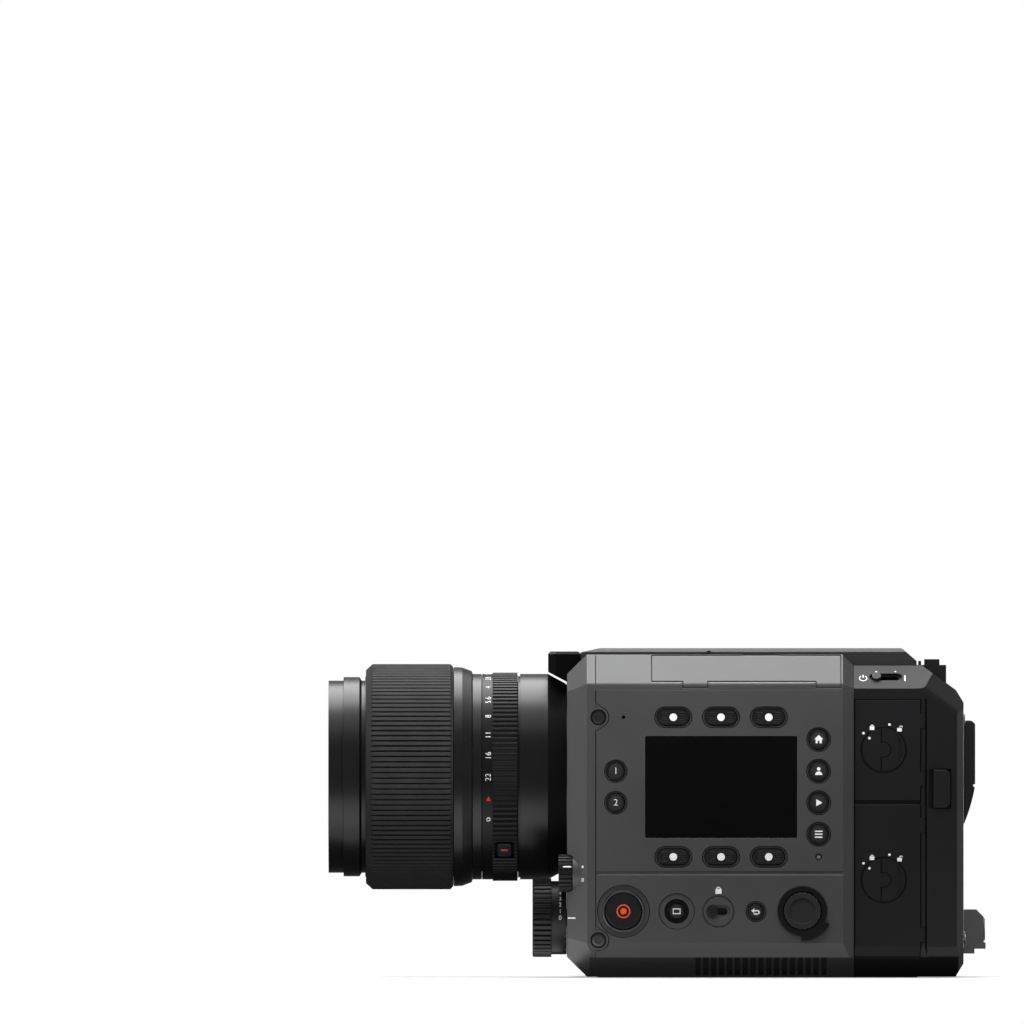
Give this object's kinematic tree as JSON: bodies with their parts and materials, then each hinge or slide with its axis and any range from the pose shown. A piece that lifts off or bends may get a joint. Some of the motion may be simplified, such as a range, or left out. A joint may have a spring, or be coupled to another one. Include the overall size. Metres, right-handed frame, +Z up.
{
  "type": "cinema camera",
  "caption": "Box-shaped cinema camera with a short prime lens, side control panel with display, hinged port and bay doors, filter wheel and tripod sockets.",
  "frame": {"origin": "mouth of the large tripod socket, in the underside of the base plate", "axes": "+Z up, the lens looks along -Y, the operator's control panel faces +X"},
  "size_m": [0.145, 0.2761, 0.1379],
  "materials": {
    "front_housing": "powder coated, satin",
    "main_frame": "powder coated, satin",
    "operator_panel": "powder coated, satin",
    "right_side_cover": "powder coated, satin",
    "rear_housing": "powder coated, satin",
    "top_plate": "powder coated, satin",
    "base_plate": "powder coated, satin",
    "camera_mount_ring": "turned",
    "front_top_block": "powder coated, satin",
    "sensor_module": "board",
    "nd_filter_unit": "matt",
    "electronics_boards": "board",
    "cooling_unit": "anodised",
    "display_glass": "polished, dark",
    "screws_and_pins": "blackened",
    "record_ring": "bright edge",
    "jog_bezel": "satin",
    "rear_battery_plate": "satin",
    "rear_terminal_block": "satin",
    "top_rear_block": "satin",
    "connector_block": "matt",
    "media_bay": "matt",
    "battery_pack": "satin",
    "lens_barrel": "anodised, satin",
    "lens_front_barrel": "anodised, satin",
    "lens_bayonet": "turned",
    "lens_glass": "coated",
    "iris_unit": "matt",
    "focus_ring": "ribbed",
    "aperture_ring": "anodised, knurled",
    "aperture_lock_button": "satin",
    "focus_group": "matt",
    "lens_release_button": "satin",
    "nd_wheel": "knurled",
    "focus_mode_dial": "knurled",
    "soft_key_1": "satin",
    "soft_key_2": "satin",
    "soft_key_3": "satin",
    "soft_key_4": "satin",
    "soft_key_5": "satin",
    "soft_key_6": "satin",
    "menu_button_1": "satin",
    "menu_button_2": "satin",
    "menu_button_3": "satin",
    "menu_button_4": "satin",
    "function_button_1": "satin",
    "function_button_2": "satin",
    "record_button": "satin",
    "grab_button": "satin",
    "back_button": "satin",
    "lock_slider": "satin",
    "jog_dial": "satin",
    "connector_door": "powder coated, satin",
    "power_switch": "satin",
    "media_door": "powder coated, satin",
    "battery_door": "powder coated, satin",
    "media_latch": "powder coated, satin",
    "battery_latch": "powder coated, satin",
    "rear_release_button": "satin",
    "fan_rotor": "matt"
  },
  "bodies": {
    "camera": {"front_housing": "front_housing", "main_frame": "main_frame", "operator_panel": "operator_panel", "right_side_cover": "right_side_cover", "rear_housing": "rear_housing", "top_plate": "top_plate", "base_plate": "base_plate", "camera_mount_ring": "camera_mount_ring", "front_top_block": "front_top_block", "sensor_module": "sensor_module", "nd_filter_unit": "nd_filter_unit", "electronics_boards": "electronics_boards", "cooling_unit": "cooling_unit", "display_glass": "display_glass", "screws_and_pins": "screws_and_pins", "record_ring": "record_ring", "jog_bezel": "jog_bezel", "rear_battery_plate": "rear_battery_plate", "rear_terminal_block": "rear_terminal_block", "top_rear_block": "top_rear_block", "connector_block": "connector_block", "media_bay": "media_bay", "battery_pack": "battery_pack", "lens_barrel": "lens_barrel", "lens_front_barrel": "lens_front_barrel", "lens_bayonet": "lens_bayonet", "lens_glass": "lens_glass", "iris_unit": "iris_unit"},
    "focus_ring": {"focus_ring": "focus_ring"},
    "aperture_ring": {"aperture_ring": "aperture_ring"},
    "aperture_lock_button": {"aperture_lock_button": "aperture_lock_button"},
    "focus_group": {"focus_group": "focus_group"},
    "lens_release_button": {"lens_release_button": "lens_release_button"},
    "nd_wheel": {"nd_wheel": "nd_wheel"},
    "focus_mode_dial": {"focus_mode_dial": "focus_mode_dial"},
    "soft_key_1": {"soft_key_1": "soft_key_1"},
    "soft_key_2": {"soft_key_2": "soft_key_2"},
    "soft_key_3": {"soft_key_3": "soft_key_3"},
    "soft_key_4": {"soft_key_4": "soft_key_4"},
    "soft_key_5": {"soft_key_5": "soft_key_5"},
    "soft_key_6": {"soft_key_6": "soft_key_6"},
    "menu_button_1": {"menu_button_1": "menu_button_1"},
    "menu_button_2": {"menu_button_2": "menu_button_2"},
    "menu_button_3": {"menu_button_3": "menu_button_3"},
    "menu_button_4": {"menu_button_4": "menu_button_4"},
    "function_button_1": {"function_button_1": "function_button_1"},
    "function_button_2": {"function_button_2": "function_button_2"},
    "record_button": {"record_button": "record_button"},
    "grab_button": {"grab_button": "grab_button"},
    "back_button": {"back_button": "back_button"},
    "lock_slider": {"lock_slider": "lock_slider"},
    "jog_dial": {"jog_dial": "jog_dial"},
    "connector_door": {"connector_door": "connector_door"},
    "power_switch": {"power_switch": "power_switch"},
    "media_door": {"media_door": "media_door"},
    "battery_door": {"battery_door": "battery_door"},
    "media_latch": {"media_latch": "media_latch"},
    "battery_latch": {"battery_latch": "battery_latch"},
    "rear_release_button": {"rear_release_button": "rear_release_button"},
    "fan_rotor": {"fan_rotor": "fan_rotor"}
  },
  "joints": [
    {"name": "focus_ring_turn", "type": "hinge", "parent": "camera", "child": "focus_ring", "pos_m": [0, -0.1285, 0.084], "axis": [0, 1, 0], "continuous": true},
    {"name": "aperture_ring_turn", "type": "hinge", "parent": "camera", "child": "aperture_ring", "pos_m": [0, -0.0906, 0.084], "axis": [0, -1, 0], "range_deg": [0, 114]},
    {"name": "aperture_lock_button_press", "type": "slide", "parent": "aperture_ring", "child": "aperture_lock_button", "axis": [-0.7071, 0, 0.7071], "range_m": [0, 0.0006], "stiffness_N_per_m": 1200},
    {"name": "focus_group_slide", "type": "slide", "parent": "camera", "child": "focus_group", "axis": [0, -1, 0], "range_m": [0, 0.006]},
    {"name": "lens_release_button_press", "type": "slide", "parent": "camera", "child": "lens_release_button", "axis": [0, 1, 0], "range_m": [0, 0.0018], "stiffness_N_per_m": 800},
    {"name": "nd_wheel_turn", "type": "hinge", "parent": "camera", "child": "nd_wheel", "pos_m": [0.044, -0.073, 0.0251], "axis": [0, 1, 0], "continuous": true},
    {"name": "focus_mode_dial_turn", "type": "hinge", "parent": "camera", "child": "focus_mode_dial", "pos_m": [0.061, -0.063, 0.0439], "axis": [0, 1, 0], "range_deg": [0, 40]},
    {"name": "soft_key_1_press", "type": "slide", "parent": "camera", "child": "soft_key_1", "axis": [-1, 0, 0], "range_m": [0, 0.0005], "stiffness_N_per_m": 1500},
    {"name": "soft_key_2_press", "type": "slide", "parent": "camera", "child": "soft_key_2", "axis": [-1, 0, 0], "range_m": [0, 0.0005], "stiffness_N_per_m": 1500},
    {"name": "soft_key_3_press", "type": "slide", "parent": "camera", "child": "soft_key_3", "axis": [-1, 0, 0], "range_m": [0, 0.0005], "stiffness_N_per_m": 1500},
    {"name": "soft_key_4_press", "type": "slide", "parent": "camera", "child": "soft_key_4", "axis": [-1, 0, 0], "range_m": [0, 0.0005], "stiffness_N_per_m": 1500},
    {"name": "soft_key_5_press", "type": "slide", "parent": "camera", "child": "soft_key_5", "axis": [-1, 0, 0], "range_m": [0, 0.0005], "stiffness_N_per_m": 1500},
    {"name": "soft_key_6_press", "type": "slide", "parent": "camera", "child": "soft_key_6", "axis": [-1, 0, 0], "range_m": [0, 0.0005], "stiffness_N_per_m": 1500},
    {"name": "menu_button_1_press", "type": "slide", "parent": "camera", "child": "menu_button_1", "axis": [-1, 0, 0], "range_m": [0, 0.0005], "stiffness_N_per_m": 1500},
    {"name": "menu_button_2_press", "type": "slide", "parent": "camera", "child": "menu_button_2", "axis": [-1, 0, 0], "range_m": [0, 0.0005], "stiffness_N_per_m": 1500},
    {"name": "menu_button_3_press", "type": "slide", "parent": "camera", "child": "menu_button_3", "axis": [-1, 0, 0], "range_m": [0, 0.0005], "stiffness_N_per_m": 1500},
    {"name": "menu_button_4_press", "type": "slide", "parent": "camera", "child": "menu_button_4", "axis": [-1, 0, 0], "range_m": [0, 0.0005], "stiffness_N_per_m": 1500},
    {"name": "function_button_1_press", "type": "slide", "parent": "camera", "child": "function_button_1", "axis": [-1, 0, 0], "range_m": [0, 0.0005], "stiffness_N_per_m": 1500},
    {"name": "function_button_2_press", "type": "slide", "parent": "camera", "child": "function_button_2", "axis": [-1, 0, 0], "range_m": [0, 0.0005], "stiffness_N_per_m": 1500},
    {"name": "record_button_press", "type": "slide", "parent": "camera", "child": "record_button", "axis": [-1, 0, 0], "range_m": [0, 0.0005], "stiffness_N_per_m": 1500},
    {"name": "grab_button_press", "type": "slide", "parent": "camera", "child": "grab_button", "axis": [-1, 0, 0], "range_m": [0, 0.0005], "stiffness_N_per_m": 1500},
    {"name": "back_button_press", "type": "slide", "parent": "camera", "child": "back_button", "axis": [-1, 0, 0], "range_m": [0, 0.0005], "stiffness_N_per_m": 1500},
    {"name": "lock_slider_slide", "type": "slide", "parent": "camera", "child": "lock_slider", "axis": [0, 1, 0], "range_m": [0, 0.0046]},
    {"name": "jog_dial_turn", "type": "hinge", "parent": "camera", "child": "jog_dial", "pos_m": [0.071, 0.0362, 0.0281], "axis": [1, 0, 0], "continuous": true},
    {"name": "connector_door_swing", "type": "hinge", "parent": "camera", "child": "connector_door", "pos_m": [0.0694, 0.0127, 0.12254], "axis": [0, 1, 0], "range_deg": [0, 105]},
    {"name": "power_switch_slide", "type": "slide", "parent": "camera", "child": "power_switch", "axis": [0, 1, 0], "range_m": [0, 0.0078]},
    {"name": "media_door_swing", "type": "hinge", "parent": "camera", "child": "media_door", "pos_m": [0.0652, 0.0869, 0.0955], "axis": [0, 0, 1], "range_deg": [0, 95]},
    {"name": "battery_door_swing", "type": "hinge", "parent": "camera", "child": "battery_door", "pos_m": [0.0652, 0.0869, 0.041], "axis": [0, 0, 1], "range_deg": [0, 95]},
    {"name": "media_latch_turn", "type": "hinge", "parent": "media_door", "child": "media_latch", "pos_m": [0.066, 0.0703, 0.0956], "axis": [-1, 0, 0], "range_deg": [0, 60]},
    {"name": "battery_latch_turn", "type": "hinge", "parent": "battery_door", "child": "battery_latch", "pos_m": [0.066, 0.0703, 0.0411], "axis": [-1, 0, 0], "range_deg": [0, 60]},
    {"name": "rear_release_button_press", "type": "slide", "parent": "camera", "child": "rear_release_button", "axis": [-1, 0, 0], "range_m": [0, 0.0015], "stiffness_N_per_m": 800},
    {"name": "fan_rotor_spin", "type": "hinge", "parent": "camera", "child": "fan_rotor", "pos_m": [-0.063, 0.012, 0.072], "axis": [1, 0, 0], "continuous": true}
  ]
}
